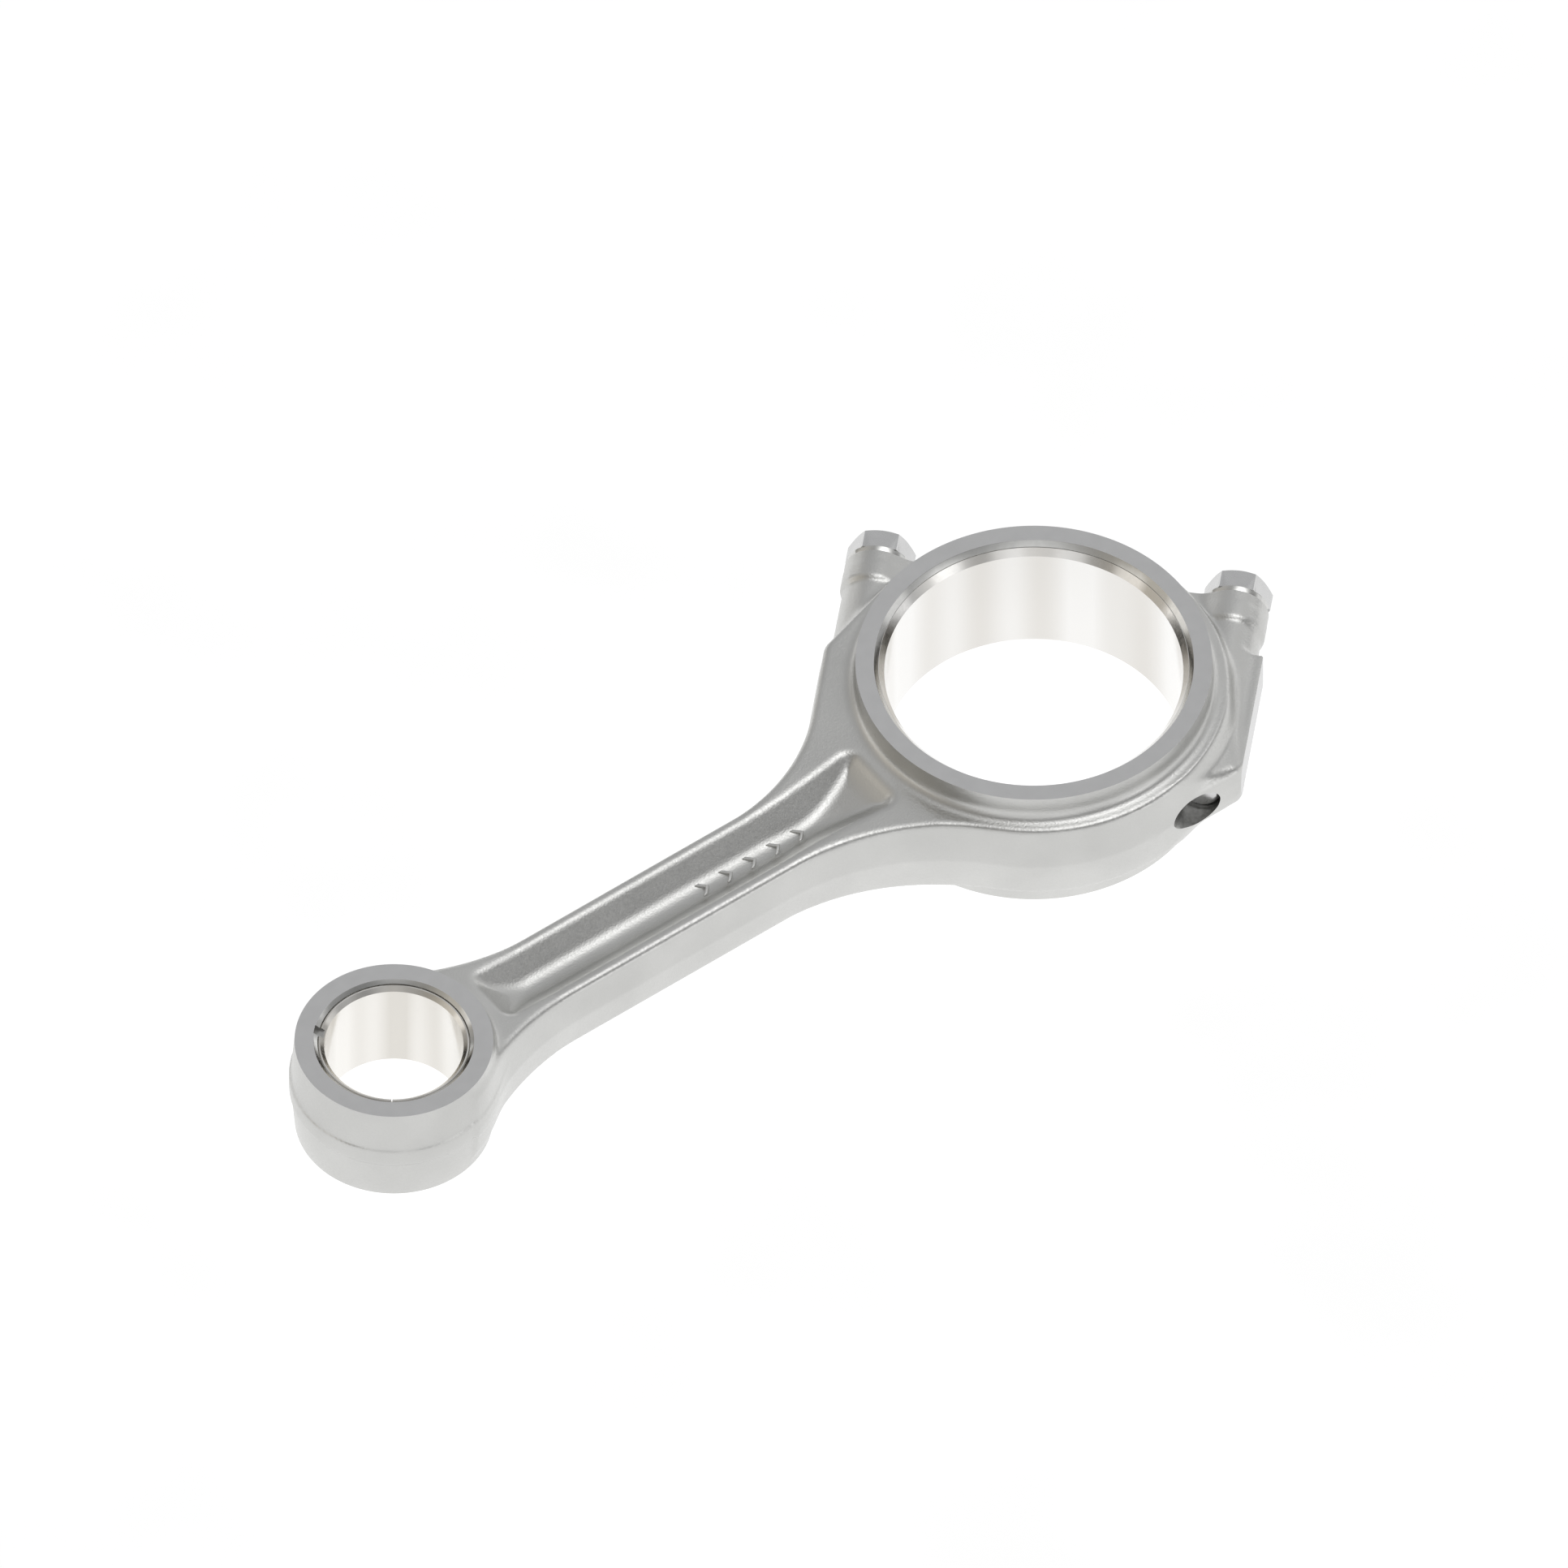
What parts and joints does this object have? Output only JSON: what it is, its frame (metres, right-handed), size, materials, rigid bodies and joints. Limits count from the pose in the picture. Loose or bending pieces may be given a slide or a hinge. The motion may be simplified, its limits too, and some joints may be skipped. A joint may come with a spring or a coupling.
{
  "type": "connecting rod",
  "caption": "Forged I-beam connecting rod with an obliquely split big end, bolted cap, plain bearing shells and a bushed small end.",
  "frame": {"origin": "centre of the crankpin bore at half its width", "axes": "+X along the beam, from the small end towards the big end; +Y across the beam, to the side of the long shoulder; +Z along both bores, out of the face with the direction mark"},
  "size_m": [0.2976, 0.1218, 0.039],
  "materials": {
    "forged_steel": "satin, shot blasted, with ground faces",
    "bearing_overlay": "polished",
    "bush_metal": "polished, pale",
    "bolt_steel": "satin"
  },
  "bodies": {
    "rod_assembly": {"rod": "forged_steel", "rod_side_shell": "bearing_overlay", "small_end_bush": "bush_metal"},
    "cap_assembly": {"cap": "forged_steel", "cap_side_shell": "bearing_overlay"},
    "beam_side_bolt": {"bolt_beam_side": "bolt_steel"},
    "free_side_bolt": {"bolt_free_side": "bolt_steel"}
  },
  "joints": [
    {"name": "cap_pull", "type": "slide", "parent": "rod_assembly", "child": "cap_assembly", "axis": [0.7071, 0.7071, 0], "range_m": [0, 0.06]},
    {"name": "beam_side_bolt_pull", "type": "slide", "parent": "cap_assembly", "child": "beam_side_bolt", "axis": [0.7071, 0.7071, 0], "range_m": [0, 0.065]},
    {"name": "free_side_bolt_pull", "type": "slide", "parent": "cap_assembly", "child": "free_side_bolt", "axis": [0.7071, 0.7071, 0], "range_m": [0, 0.065]}
  ]
}
